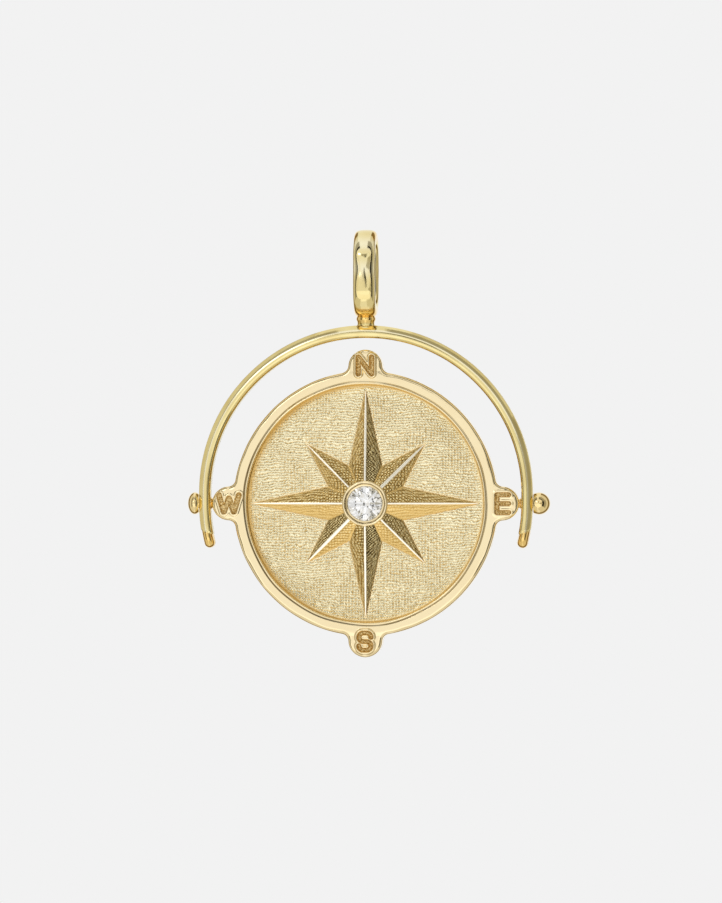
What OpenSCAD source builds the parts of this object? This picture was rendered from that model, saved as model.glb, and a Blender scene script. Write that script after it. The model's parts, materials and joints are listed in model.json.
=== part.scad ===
// Compass pendant: a lobed medallion with an eight-ray star that spins inside a stirrup arch.
// Millimetres. +Z is up, the front faces -Y, east is +X.
// The origin is the top of the bail's inside, where the chain bears.

/* [Medallion] */
// Outer diameter of the round rim
rim_d = 19.0; // [18:0.1:22]
// Thickness of the rim, front to back
rim_t = 1.7; // [1.6:0.05:2.2]
// Width of the rim, from its outer edge in to the sunken field
rim_w = 1.02; // [0.8:0.01:1.3]
// Depth of the field below the rim's face
field_sink = 0.58; // [0.4:0.02:0.7]
// Run of the sloping wall between the field and the rim's face
wall_run = 0.38; // [0.2:0.02:0.5]
// Rounding of the rim's and the lobes' edges
edge_r = 0.18; // [0.08:0.01:0.25]

/* [Lobes] */
// Radius of each of the four lobes
lobe_r = 1.22; // [1.15:0.01:1.4]
// How far a lobe reaches out past the rim
lobe_out = 1.52; // [1.4:0.01:1.8]
// Radius of the hollow fillet between a lobe and the rim
lobe_fillet = 0.54; // [0.3:0.02:0.8]
// How far the fillet's web lies below the rim's face
web_sink = 0.06; // [0.02:0.01:0.12]

/* [Letters] */
// Depth of the sunken letters
letter_sink = 0.2; // [0.1:0.01:0.24]
// Width of a letter's stroke
stroke_w = 0.34; // [0.26:0.01:0.36]
// Height of the letters
letter_h = 1.56; // [1.4:0.01:1.6]
// Width of the N
n_w = 1.38; // [1.2:0.01:1.45]
// Width of the S
s_w = 1.22; // [1.1:0.01:1.3]
// Width of the W
w_w = 1.8; // [1.7:0.01:1.9]
// Width of the E
e_w = 1.2; // [1.05:0.01:1.3]
// How far the N, E and S lie outside the middles of their lobes, which the wider W lies on
letter_shift = 0.08; // [0:0.01:0.12]

/* [Star] */
// Gap between the tips of the four long rays and the edge of the field
ray_gap = 0.38; // [0.2:0.01:1]
// Length of the four short rays, from the centre
ray_short = 5.95; // [5:0.05:6.4]
// Distance from the centre to the corners between the rays
ray_corner = 2.9; // [2.5:0.05:3.2]
// Angle of those corners from the long rays
corner_deg = 24; // [20:0.5:26]
// Height of the star above the field at its middle
star_h = 0.7; // [0.5:0.02:0.8]
// Height of the star's edge above the field
star_foot = 0.05; // [0.03:0.01:0.1]
// Width of the flat on a long ridge, at the bezel
ridge_long_w = 0.2; // [0.1:0.01:0.3]
// Width of the flat on a short ridge, at the bezel
ridge_short_w = 0.32; // [0.1:0.01:0.4]
// How far the ridges run in under the bezel
ridge_tuck = 0.25; // [0.1:0.01:0.3]

/* [Stone and bezel] */
// Diameter of the stone over its girdle
stone_d = 2.6; // [2.4:0.02:2.8]
// Thickness of the stone's girdle
girdle_t = 0.08; // [0.06:0.01:0.12]
// Table width as a share of the stone's diameter
table_share = 0.57; // [0.53:0.01:0.62]
// Slope of the main crown facets
crown_deg = 34.5; // [32:0.5:36]
// Slope of the main pavilion facets
pavilion_deg = 40.75; // [40:0.25:42]
// Metal round the stone, out to the bezel's outside
bezel_wall = 0.36; // [0.3:0.01:0.45]
// How far the bezel's lip covers the girdle
lip_cover = 0.065; // [0.03:0.005:0.08]
// Height of the bezel's lip above the middle of the star
lip_rise = 0.16; // [0.1:0.01:0.25]
// Depth of the girdle below the lip
girdle_sink = 0.3; // [0.24:0.01:0.36]
// Gap between the stone and its seat
seat_gap = 0.025; // [0.015:0.005:0.04]

/* [Pivot pins] */
// Diameter of the pins
pin_d = 0.65; // [0.6:0.01:0.75]
// Depth of the pins' seats in the lobes
pin_seat = 1.0; // [0.8:0.05:1.2]
// Diameter of the pins' heads
head_d = 1.58; // [1.4:0.02:1.7]
// Length of the west pin's head, which is hammered flatter
west_head_l = 0.8; // [0.7:0.02:1.2]
// Length of the east pin's head
east_head_l = 1.18; // [0.9:0.02:1.4]
// Diameter of the collars on both sides of the arch
collar_d = 0.93; // [0.85:0.01:1.1]
// Thickness of the collar between a lobe and the arch
collar_t = 0.1; // [0.08:0.01:0.2]
// Length of the collar under each head
neck_l = 0.22; // [0.1:0.01:0.3]
// Gap between a pin and its seat in the lobe
pin_seat_gap = 0.02; // [0.01:0.005:0.03]
// Running gap between a pin and its hole in the arch
run_gap = 0.05; // [0.03:0.005:0.08]
// End play between a collar or head and the arch
end_play = 0.05; // [0.04:0.01:0.1]

/* [Arch] */
// Thickness of the arch, across the loop
arch_t = 0.8; // [0.76:0.02:1]
// Depth of the arch, front to back
arch_depth = 1.5; // [1.4:0.05:2]
// Rounding of the arch's edges
arch_edge_r = 0.34; // [0.2:0.01:0.36]
// Height of the upper arc's centre above the pins
arch_rise = 0.72; // [0.4:0.02:1.5]
// How far the arms curve in below the pins
arm_deg = 12.2; // [10:0.1:20]

/* [Bail and neck] */
// Height of the bail
bail_h = 6.31; // [5.6:0.05:7.5]
// Depth of the bail, front to back
bail_depth = 4.2; // [4:0.05:5]
// Width of the bail
bail_w = 1.58; // [1.4:0.02:1.9]
// Thickness of the bail's metal
bail_t = 1.05; // [0.9:0.05:1.2]
// Rounding of the bail's edges
bail_edge_r = 0.42; // [0.3:0.01:0.44]
// Diameter of the neck that joins the bail to the arch
neck_d = 1.22; // [1:0.02:1.4]
// Gap between the arch and the bail, which the neck spans
neck_h = 0.59; // [0.4:0.01:0.9]
// Radius of the solder fillet round the foot of the neck
solder_r = 0.2; // [0.1:0.01:0.25]

/* [Hidden] */
$fn = 72;

// Cuts start this far outside the metal, and joined pieces sink this far into each other
cut_over = 0.1;
sunk = 0.1;

// Medallion, in its own frame: front +Z, north +Y, east +X, middle of the pins at the origin
rim_r = rim_d / 2;
face_z = rim_t / 2;
field_r = rim_r - rim_w;
field_z = face_z - field_sink;
lobe_reach = rim_r + lobe_out;
lobe_at = lobe_reach - lobe_r;
// Height of the W's middle peak over its middle, as a share of its half height
w_peak = 0.55;
web_t = rim_t - 2 * web_sink;
// The fillet's circle touches the rim and the lobe from outside
fillet_at = rim_r + lobe_fillet;
fillet_side = lobe_r + lobe_fillet;
fillet_deg = acos((fillet_at ^ 2 + lobe_at ^ 2 - fillet_side ^ 2) / (2 * fillet_at * lobe_at));

// Star, whose rays are one step of the turn apart
ray_long = field_r - ray_gap;
ray_deg = 45;

// Stone and bezel
stone_r = stone_d / 2;
table_r = stone_r * table_share;
lip_z = field_z + star_h + lip_rise;
girdle_z = lip_z - girdle_sink;
bezel_r = stone_r + bezel_wall;
opening_r = stone_r - lip_cover;
ray_start = bezel_r - ridge_tuck;
// Width of the flat on top of the lip
lip_flat = 0.14;
// The stone's tip, and the pilot hole that leaves room under it
culet_z = girdle_z - girdle_t - stone_r * tan(pavilion_deg);
pilot_r = 0.2;
pilot_z = culet_z - 2 * seat_gap;
// The star facets' slope, and how much steeper the half facets are than the main ones
star_facet_deg = 22;
upper_half_more = 6;
lower_half_more = 1.1;
// Half the turn from one of eight facets to the next
facet_half_deg = 22.5;

// Arch, pins and bail
arch_in_r = lobe_reach + pin_seat_gap + collar_t + end_play;
arch_out_r = arch_in_r + arch_t;
arch_mid_r = (arch_in_r + arch_out_r) / 2;
pin_hole_r = pin_d / 2 + run_gap;
// Least half width of the flats that a rounded head keeps
head_flat = 0.02;
// The arms' round tips are this much smaller all round than the arms that they overlap
tip_step = 0.02;
arch_top = arch_rise + arch_out_r;
bail_foot = arch_top + neck_h;
bail_bend_r = bail_depth / 2;
bail_leg = bail_h - bail_depth;
bail_center = bail_foot + bail_h / 2;
chain_seat = bail_foot + bail_h - bail_t;

// Turns a piece from the medallion's frame into the part's frame
module place() {
    translate([0, 0, -chain_seat]) rotate([90, 0, 0]) children();
}

// A rectangle with its four corners rounded
module rounded_section(w, h, r) {
    square([w - 2 * r, h], center = true);
    square([w, h - 2 * r], center = true);
    for (x = [-1, 1], y = [-1, 1])
        translate([x * (w / 2 - r), y * (h / 2 - r)]) circle(r);
}

// The half of that section that a turned piece needs
module half_section(r_out, h, edge) {
    intersection() {
        rounded_section(2 * r_out, h, edge);
        translate([0, -h]) square([r_out + cut_over, 2 * h]);
    }
}

// A round slab with rounded edges
module round_slab(r, t, edge) {
    rotate_extrude() half_section(r, t, edge);
}

// A stroke of a letter with round ends
module stroke(a, b) {
    run = b - a;
    translate(a) rotate(atan2(run.y, run.x)) translate([0, -stroke_w / 2])
        square([norm(run), stroke_w]);
    for (p = [a, b]) translate(p) circle(stroke_w / 2);
}

// A line of strokes through the listed corners
module strokes(points) {
    for (i = [1 : len(points) - 1]) stroke(points[i - 1], points[i]);
}

// Half width and half height of a letter, measured to the middle of its strokes
function half(size) = (size - stroke_w) / 2;

module letter_n() {
    x = half(n_w);
    y = half(letter_h);
    strokes([[-x, -y], [-x, y], [x, -y], [x, y]]);
}

module letter_w() {
    x = half(w_w);
    y = half(letter_h);
    strokes([[-x, y], [-x / 2, -y], [0, y * w_peak], [x / 2, -y], [x, y]]);
}

module letter_e() {
    x = half(e_w);
    y = half(letter_h);
    strokes([[x, y], [-x, y], [-x, -y], [x, -y]]);
    stroke([-x, 0], [x, 0]);
}

// One bowl of the S: a half ring that opens towards the letter's middle
module bowl(r) {
    difference() {
        circle(r + stroke_w / 2);
        circle(r - stroke_w / 2);
        translate([0, -2 * r - stroke_w]) square(2 * (2 * r + stroke_w));
    }
}

// The curled end of the S: the next quarter of the same ring
module curl(r) {
    intersection() {
        difference() {
            circle(r + stroke_w / 2);
            circle(r - stroke_w / 2);
        }
        square(r + stroke_w);
    }
}

module letter_s() {
    y = half(letter_h) / 2;
    x = half(s_w) - y;
    for (turn = [0, 180]) rotate(turn) {
        translate([-x, y]) bowl(y);
        stroke([-x, 2 * y], [x, 2 * y]);
        translate([x, y]) curl(y);
    }
    stroke([-x, 0], [x, 0]);
}

// A letter's cut, sunk into the face of the lobe at the given angle
module letter_cut(angle, shift) {
    at = (lobe_at + shift) * [cos(angle), sin(angle)];
    translate([at.x, at.y, face_z - letter_sink])
        linear_extrude(letter_sink + cut_over) children();
}

// The web that fills the corner between a lobe and the rim
module web(side) {
    turn = side * fillet_deg;
    corner = fillet_at * [cos(turn), sin(turn)];
    root = (rim_r - lobe_r) * [cos(turn / 2), sin(turn / 2)];
    translate([0, 0, -web_t / 2]) linear_extrude(web_t) difference() {
        polygon([root, corner, [lobe_at, 0]]);
        translate(corner) circle(lobe_fillet);
    }
}

// The disc with its four lobes
module blank() {
    round_slab(rim_r, rim_t, edge_r);
    for (angle = [0 : 90 : 270]) rotate(angle) {
        translate([lobe_at, 0, 0]) round_slab(lobe_r, rim_t, edge_r);
        for (side = [-1, 1]) web(side);
    }
}

// The sunken field with its sloping wall, as the cut that makes it
module field_cut() {
    spread = wall_run * (1 + cut_over / field_sink);
    translate([0, 0, field_z])
        cylinder(r1 = field_r, r2 = field_r + spread, h = field_sink + cut_over);
}

// Star: even rays are long and odd rays short, each with a flat ridge that runs out at its tip
function ray_l(i) = i % 2 == 0 ? ray_long : ray_short;
function ridge_w(i) = i % 2 == 0 ? ridge_long_w : ridge_short_w;
function corner_angle(i) = i * ray_deg + (i % 2 == 0 ? corner_deg : ray_deg - corner_deg);
function on_circle(r, angle, z) = [r * cos(angle), r * sin(angle), z];
function ridge_point(i, side) =
    on_circle(ray_start, i * ray_deg, star_h)
    + side * ridge_w(i) / 2 * [-sin(i * ray_deg), cos(i * ray_deg), 0];

module star() {
    rays = [0 : 7];
    // Sixteen points round the outline: a tip, then the corner after it
    outline = [for (i = rays) each [
        on_circle(ray_l(i), i * ray_deg, 0),
        on_circle(ray_corner, corner_angle(i), 0)]];
    top = [for (p = outline) p + [0, 0, star_foot]];
    bottom = [for (p = outline) p - [0, 0, sunk]];
    ridges = [for (i = rays) each [ridge_point(i, -1), ridge_point(i, 1)]];
    n = len(outline);
    function t(j) = j % n;
    function b(j) = n + j % n;
    function r(j) = 2 * n + (j + n) % n;
    walls = [for (j = [0 : n - 1]) [t(j), t(j + 1), b(j + 1), b(j)]];
    flats = [for (i = rays) [r(2 * i), r(2 * i + 1), t(2 * i)]];
    flanks = [for (i = rays) each [
        [r(2 * i + 1), t(2 * i + 1), t(2 * i)],
        [r(2 * i + 1), r(2 * i + 2), t(2 * i + 1)],
        [r(2 * i + 2), t(2 * i + 2), t(2 * i + 1)]]];
    cap = [[for (j = [n - 1 : -1 : 0]) r(j)]];
    // The underside is a fan round its middle, because its outline isn't convex
    underside = [for (j = [0 : n - 1]) [b(j), b(j + 1), 3 * n]];
    translate([0, 0, field_z]) polyhedron(
        concat(top, bottom, ridges, [[0, 0, -sunk]]),
        concat(walls, flats, flanks, cap, underside));
}

// The bezel's cup, solid until the stone's seat is cut in it
module bezel() {
    translate([0, 0, field_z - sunk])
        cylinder(r = bezel_r, h = lip_z - field_z + sunk);
}

// The pilot hole, the stone's seat, the groove round its girdle, the lip over it and the bevel up to
// the lip's top
module stone_cut() {
    seat_r = stone_r + seat_gap;
    girdle_low = girdle_z - girdle_t - seat_gap;
    seat_foot_z = girdle_low - (seat_r - pilot_r) * tan(pavilion_deg);
    lip_under_z = girdle_z + seat_gap;
    bevel_z = lip_under_z + seat_gap + lip_cover * tan(crown_deg);
    bevel_out_r = bezel_r - lip_flat;
    rotate_extrude() polygon([
        [0, pilot_z],
        [pilot_r, pilot_z],
        [pilot_r, seat_foot_z],
        [seat_r, girdle_low],
        [seat_r, lip_under_z],
        [opening_r, bevel_z],
        [bevel_out_r, lip_z],
        [bevel_out_r, lip_z + cut_over],
        [0, lip_z + cut_over]]);
}

// Blind seats for the pins, along east and west
module pin_seats() {
    for (side = [-1, 1])
        translate([side * (lobe_reach - pin_seat), 0, 0]) rotate([0, side * 90, 0])
            cylinder(r = pin_d / 2 + pin_seat_gap, h = pin_seat + cut_over);
}

// Medallion: one casting with its rim, lobes, letters, star and bezel
module medallion() {
    color([0.87, 0.74, 0.46]) place() difference() {
        union() {
            difference() {
                blank();
                field_cut();
            }
            star();
            bezel();
        }
        stone_cut();
        pin_seats();
        letter_cut(90, letter_shift) letter_n();
        letter_cut(180, 0) letter_w();
        letter_cut(0, letter_shift) letter_e();
        letter_cut(270, letter_shift) letter_s();
    }
}

// A pin with its collar, neck and head, from the inner end of its seat outwards along +X
module pin(head_l) {
    inner_end = lobe_reach - pin_seat + pin_seat_gap;
    collar_at = lobe_reach + pin_seat_gap;
    head_at = arch_out_r + end_play;
    head_edge = min(head_l, head_d) / 2 - head_flat;
    rotate([0, 90, 0]) {
        translate([0, 0, inner_end]) cylinder(r = pin_d / 2, h = head_at - inner_end + sunk);
        translate([0, 0, collar_at]) cylinder(r = collar_d / 2, h = collar_t);
        translate([0, 0, head_at]) cylinder(r = collar_d / 2, h = neck_l);
        translate([0, 0, head_at + head_l / 2]) round_slab(head_d / 2, head_l, head_edge);
    }
}

module west_pin() {
    color([0.84, 0.7, 0.4]) place() mirror([1, 0, 0]) pin(west_head_l);
}

module east_pin() {
    color([0.84, 0.7, 0.4]) place() pin(east_head_l);
}

// The arch's section, with its thickness along X
module arch_section() {
    rounded_section(arch_t, arch_depth, arch_edge_r);
}

// Half of the arch's section, for the turned tip of an arm, a hair smaller than the arm itself
module tip_section() {
    intersection() {
        rounded_section(arch_depth - 2 * tip_step, arch_t - 2 * tip_step, arch_edge_r - tip_step);
        translate([0, -arch_t]) square([arch_depth, 2 * arch_t]);
    }
}

// The straight stretch beside a pin, and the arm below it, which curves in to its round tip
module arm() {
    translate([arch_mid_r, 0, 0]) rotate([-90, 0, 0]) linear_extrude(arch_rise) arch_section();
    mirror([0, 1, 0]) {
        rotate_extrude(angle = arm_deg) translate([arch_mid_r, 0]) arch_section();
        rotate(arm_deg) translate([arch_mid_r, -sunk, 0]) rotate([0, 90, 0])
            rotate_extrude(angle = 180) tip_section();
    }
}

// The bail's loop, whose section has its thickness along X
module bail_section() {
    rounded_section(bail_t, bail_w, bail_edge_r);
}

module bail() {
    mid_r = bail_bend_r - bail_t / 2;
    translate([0, bail_center, 0]) rotate([0, 90, 0]) {
        for (turn = [0, 180]) rotate(turn) {
            translate([0, bail_leg / 2, 0])
                rotate_extrude(angle = 180) translate([mid_r, 0]) bail_section();
            translate([mid_r, -bail_leg / 2, 0]) rotate([-90, 0, 0])
                linear_extrude(bail_leg) bail_section();
        }
    }
}

// The neck between bail and arch, with the solder's fillet at its foot
module neck() {
    foot = arch_top - arch_t / 2;
    top = bail_foot + bail_t / 2;
    foot_r = neck_d / 2 + solder_r;
    translate([0, foot, 0]) rotate([-90, 0, 0]) {
        cylinder(r = neck_d / 2, h = top - foot);
        rotate_extrude() difference() {
            square([foot_r, arch_t / 2 + solder_r]);
            translate([foot_r, arch_t / 2 + solder_r]) circle(solder_r);
        }
    }
}

// Hanger: the arch, its neck and the bail, soldered into one piece, with a hole for each pin
module hanger() {
    color([0.83, 0.73, 0.42]) place() difference() {
        union() {
            translate([0, arch_rise, 0]) rotate_extrude(angle = 180)
                translate([arch_mid_r, 0]) arch_section();
            for (side = [0, 1]) mirror([side, 0, 0]) arm();
            neck();
            bail();
        }
        rotate([0, 90, 0]) cylinder(r = pin_hole_r, h = 2 * (arch_out_r + cut_over), center = true);
    }
}

// The space under eight facets that slope down from radius r at height 0, as a pyramid
module facets(slope, r, turn) {
    reach = stone_d;
    translate([0, 0, -reach]) rotate(turn)
        cylinder(
            r1 = (r + reach / tan(slope)) / cos(facet_half_deg),
            r2 = 0,
            h = reach + r * tan(slope),
            $fn = 8);
}

// Main facets from the girdle inwards, and the pairs of half facets between them
module facet_tiers(main_deg, half_more) {
    half_turn = facet_half_deg / 2;
    half_r = stone_r * cos(half_turn);
    tiers = [
        [main_deg, stone_r, 0],
        [main_deg + half_more, half_r, -half_turn],
        [main_deg + half_more, half_r, half_turn]];
    intersection_for(tier = tiers) facets(tier[0], tier[1], tier[2] + facet_half_deg);
}

// Stone: a round brilliant with its table, crown, girdle and pavilion
module center_stone() {
    table_z = girdle_z + (stone_r - table_r) * tan(crown_deg);
    color([0.95, 0.96, 0.98]) place() intersection() {
        translate([0, 0, girdle_z]) facet_tiers(crown_deg, upper_half_more);
        translate([0, 0, girdle_z - girdle_t]) mirror([0, 0, 1])
            facet_tiers(pavilion_deg, lower_half_more);
        translate([0, 0, table_z]) facets(star_facet_deg, table_r * cos(facet_half_deg), 0);
        translate([0, 0, culet_z - sunk]) cylinder(r = stone_r, h = table_z - culet_z + sunk);
    }
}

hanger();
medallion();
west_pin();
east_pin();
center_stone();
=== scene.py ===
# %% [markdown]
# # A compass pendant in yellow gold
# The pendant is a cast medallion that spins on two pins inside a stirrup arch. The imported model
# gives every size and place, and this lesson rebuilds each metal piece finely enough for a close
# picture. It starts by loading that model as a fixed frame.

# %% Load the frame
import json
import math

import bmesh
import bpy
import numpy as np
from mathutils import Matrix, Vector, noise


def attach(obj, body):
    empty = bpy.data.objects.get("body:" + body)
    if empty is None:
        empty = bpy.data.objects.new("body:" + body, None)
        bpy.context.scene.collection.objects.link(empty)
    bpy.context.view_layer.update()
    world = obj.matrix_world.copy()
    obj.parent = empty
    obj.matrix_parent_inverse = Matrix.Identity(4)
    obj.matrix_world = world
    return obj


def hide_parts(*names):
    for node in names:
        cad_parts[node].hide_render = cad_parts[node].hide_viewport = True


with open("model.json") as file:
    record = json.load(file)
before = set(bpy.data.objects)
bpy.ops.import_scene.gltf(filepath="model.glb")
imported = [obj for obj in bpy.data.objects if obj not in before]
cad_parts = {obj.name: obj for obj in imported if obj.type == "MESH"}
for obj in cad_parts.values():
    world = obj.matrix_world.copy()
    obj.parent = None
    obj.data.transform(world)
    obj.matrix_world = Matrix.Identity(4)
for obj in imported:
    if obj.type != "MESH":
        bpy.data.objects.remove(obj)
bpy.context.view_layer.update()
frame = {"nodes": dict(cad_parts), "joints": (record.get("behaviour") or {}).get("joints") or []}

# %% [markdown]
# ## Where things are made
# Jewellers draw a medallion face up, so each piece is made in millimetres with its front towards +Z
# and north towards +Y, around the middle of the two pins. One matrix then stands it upright in the
# frame, whose front is -Y, and brings it to metres. The joint says where the pins are.

# %% The bench frame, and how a finished piece leaves it
MM = 0.001
WELD = 1e-4
pivot = Vector(frame["joints"][0]["pos_m"])
BENCH = Matrix.Translation(pivot) @ Matrix.Rotation(math.radians(90), 4, "X") @ Matrix.Scale(MM, 4)
HANGER = ("hanger_body", "hanger", "hanger_gold")
MEDALLION = ("medallion_body", "medallion", "medallion_gold")


def finish_piece(bm, name, part, sharp_deg):
    """Welds a bmesh, stands it up in the frame and makes it a piece of a part: body, node, slot. The
    slot is not used.
    """
    body, stands_for, slot = part
    bmesh.ops.remove_doubles(bm, verts=bm.verts, dist=WELD)
    bmesh.ops.recalc_face_normals(bm, faces=bm.faces)
    open_edges = sum(1 for edge in bm.edges if not edge.is_manifold)
    bmesh.ops.transform(bm, matrix=BENCH, verts=bm.verts)
    mesh = bpy.data.meshes.new(name)
    bm.to_mesh(mesh)
    bm.free()
    mesh.shade_smooth()
    mesh.set_sharp_from_angle(angle=math.radians(sharp_deg))
    piece = bpy.data.objects.new(name, mesh)
    bpy.context.scene.collection.objects.link(piece)
    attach(piece, body)
    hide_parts(stands_for)
    triangles = sum(len(face.vertices) - 2 for face in mesh.polygons)
    print(f"{name}: {triangles} triangles, {open_edges} open edges")
    return piece


def coords(bm):
    """The points of a bmesh as an array, one row a point."""
    return np.array([vert.co[:] for vert in bm.verts])


def set_coords(bm, co):
    """Puts the points back where the array says."""
    for vert, place in zip(bm.verts, co.tolist()):
        vert.co = place


def set_layer(bm, name, values):
    """Keeps one number a point with the mesh, for its finish to read."""
    layer = bm.verts.layers.float.new(name)
    for vert, value in zip(bm.verts, values.tolist()):
        vert[layer] = value


# %% [markdown]
# ## A pencil for profiles
# Turned and drawn pieces start as a profile. This pencil draws one in the XZ plane, as a tool path
# does. Each stroke is an extruded or a spun point, so the bends are true arcs and the profile is one
# chain of edges, ready for the lathe.

# %% The pencil
class Pencil:
    """Draws a chain of edges. Headings are in degrees, with 0 along +X and 90 along +Z."""

    def __init__(self, bm, x, z, heading=0.0):
        self.bm, self.heading = bm, heading
        self.tip = bm.verts.new((x, 0, z))

    def to(self, x, z):
        """Goes straight to a point."""
        old = self.tip.co.copy()
        self.tip = bmesh.ops.extrude_vert_indiv(self.bm, verts=[self.tip])["verts"][0]
        self.tip.co = (x, 0, z)
        self.heading = math.degrees(math.atan2(z - old.z, x - old.x))

    def ahead(self, length):
        """Goes straight on."""
        turn = math.radians(self.heading)
        self.to(self.tip.co.x + length * math.cos(turn), self.tip.co.z + length * math.sin(turn))

    def bend(self, radius, deg, steps=8):
        """Goes round an arc, to the left if deg is positive."""
        side = math.radians(self.heading + (90 if deg > 0 else -90))
        x = self.tip.co.x + radius * math.cos(side)
        z = self.tip.co.z + radius * math.sin(side)
        made = bmesh.ops.spin(
            self.bm, geom=[self.tip], cent=(x, 0, z), axis=(0, -1, 0),
            angle=math.radians(deg), steps=steps)
        self.tip = next(v for v in made["geom_last"] if isinstance(v, bmesh.types.BMVert))
        self.heading += deg


def turn(bm, steps, deg=360, axis=(0, 0, 1), centre=(0, 0, 0), geom=None):
    """Turns what is drawn about an axis, as on a lathe, and gives the last edge loop."""
    made = bmesh.ops.spin(
        bm, geom=geom or bm.verts[:] + bm.edges[:], cent=centre, axis=axis,
        angle=math.radians(deg), steps=steps, use_merge=deg == 360)
    return made["geom_last"]


def swing(bm, deg, axis):
    """Swings all that is drawn round an axis through the middle."""
    about = Matrix.Rotation(math.radians(deg), 3, axis)
    bmesh.ops.rotate(bm, verts=bm.verts, cent=(0, 0, 0), matrix=about)


def slide(bm, geom, move):
    """Draws a straight stretch from an edge loop and gives the new loop."""
    edges = [part for part in geom if isinstance(part, bmesh.types.BMEdge)]
    made = bmesh.ops.extrude_edge_only(bm, edges=edges)["geom"]
    verts = [part for part in made if isinstance(part, bmesh.types.BMVert)]
    bmesh.ops.translate(bm, verts=verts, vec=move)
    return verts + [e for e in made if isinstance(e, bmesh.types.BMEdge)
                    and all(v in set(verts) for v in e.verts)]


# %% [markdown]
# ## The medallion's sizes
# The round rim is 19 mm across, and the lobes for the four letters reach a little past it. A hollow
# fillet joins each lobe to the rim. These few lengths drive the outline, the wall and the letters.

# %% Sizes of the medallion, in millimetres
RIM_R, FACE_Z, EDGE_R = 9.5, 0.85, 0.27
EDGE_WORN, EDGE_WORN_SIZE = 0.35, 1.1
FIELD_R, FIELD_Z = 8.48, 0.27
WALL_TOP_R = 8.98
LOBE_R, LOBE_AT, LOBE_FILLET = 1.22, 9.8, 0.54
FILLET_AT = RIM_R + LOBE_FILLET
FILLET_SIDE = LOBE_R + LOBE_FILLET
FILLET_TURN = math.acos(
    (FILLET_AT ** 2 + LOBE_AT ** 2 - FILLET_SIDE ** 2) / (2 * FILLET_AT * LOBE_AT))
FILLET_X = FILLET_AT * math.cos(FILLET_TURN)
FILLET_Y = FILLET_AT * math.sin(FILLET_TURN)


def fold(x, y, sector_deg):
    """Radius of points, and their angle from the nearest of the sectors' middles."""
    step = math.radians(sector_deg)
    angle = np.arctan2(y, x)
    return np.hypot(x, y), np.abs(angle - np.round(angle / step) * step)


def outline_r(angle):
    """Radius of the outline at an angle from the middle of a lobe."""
    lobe_turn = math.atan2(
        LOBE_R * FILLET_Y, LOBE_AT * FILLET_SIDE + LOBE_R * (FILLET_X - LOBE_AT))
    lobe = LOBE_AT * np.cos(angle) + np.sqrt(
        np.maximum(LOBE_R ** 2 - (LOBE_AT * np.sin(angle)) ** 2, 0))
    past = angle - FILLET_TURN
    hollow = FILLET_AT * np.cos(past) - np.sqrt(
        np.maximum(LOBE_FILLET ** 2 - (FILLET_AT * np.sin(past)) ** 2, 0))
    return np.where(angle < lobe_turn, lobe, np.where(angle < FILLET_TURN, hollow, RIM_R))


def inside(x, y):
    """How far a point lies inside the outline, measured square to it."""
    r, angle = fold(x, y, 90)
    px, py = r * np.cos(angle), r * np.sin(angle)
    plain = np.maximum(LOBE_R - np.hypot(px - LOBE_AT, py), RIM_R - r)
    vx, vy = px - FILLET_X, py - FILLET_Y
    past_lobe = vy * (LOBE_AT - FILLET_X) + vx * FILLET_Y
    past_rim = vy * FILLET_X - vx * FILLET_Y
    in_web = (past_lobe < 0) & (past_rim < 0) & (r < FILLET_AT)
    return np.where(in_web, np.hypot(vx, vy) - LOBE_FILLET, plain)


# %% [markdown]
# ## Letters as strokes
# The letters are sunk with a round-ended graver, so each is a path, and a point's depth depends on
# its distance from that path alone. This keeps the corners soft, as a cast letter's are. The wax
# model left a raised bead round each letter, which stands highest round the N and the S.

# %% Paths of the letters
LETTER_W = {"N": 1.31, "S": 1.2, "W": 1.86, "E": 1.2}
LETTER_H = {"N": 1.56, "S": 1.56, "W": 1.6, "E": 1.64}
STROKE_W = {"N": 0.35, "S": 0.33, "W": 0.41, "E": 0.36}
LETTER_SINK = {"N": 0.24, "S": 0.24, "W": 0.19, "E": 0.22}
BEAD_H = {"N": 0.13, "S": 0.12, "W": 0.05, "E": 0.03}
LETTER_SHIFT, W_PEAK = 0.08, 0.62


def bow(cx, cy, r, start, end, steps=10):
    """Points of an arc, from one angle to another, in degrees."""
    turns = np.radians(np.linspace(start, end, steps))
    return [(cx + r * math.cos(t), cy + r * math.sin(t)) for t in turns]


def half_path(name):
    """Half the width and height of a letter's path, which runs along the middle of its stroke."""
    return (LETTER_W[name] - STROKE_W[name]) / 2, (LETTER_H[name] - STROKE_W[name]) / 2


n_x, n_y = half_path("N")
w_x, w_y = half_path("W")
e_x, e_y = half_path("E")
s_x, s_y = half_path("S")
s_r = s_y / 2
s_x -= s_r
LETTERS = {
    "N": (0, 1, LETTER_SHIFT, [[(-n_x, -n_y), (-n_x, n_y), (n_x, -n_y), (n_x, n_y)]]),
    "W": (-1, 0, 0.0, [
        [(-w_x, w_y), (-w_x / 2, -w_y), (0, W_PEAK * w_y), (w_x / 2, -w_y), (w_x, w_y)]]),
    "E": (1, 0, LETTER_SHIFT, [
        [(e_x, e_y), (-e_x, e_y), (-e_x, -e_y), (e_x, -e_y)],
        [(-e_x, 0), (e_x, 0)]]),
    "S": (0, -1, LETTER_SHIFT, [
        bow(s_x, s_r, s_r, 0, 90) + bow(-s_x, s_r, s_r, 90, 270)
        + bow(s_x, -s_r, s_r, 90, -90) + bow(-s_x, -s_r, s_r, 270, 180)]),
}


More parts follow.
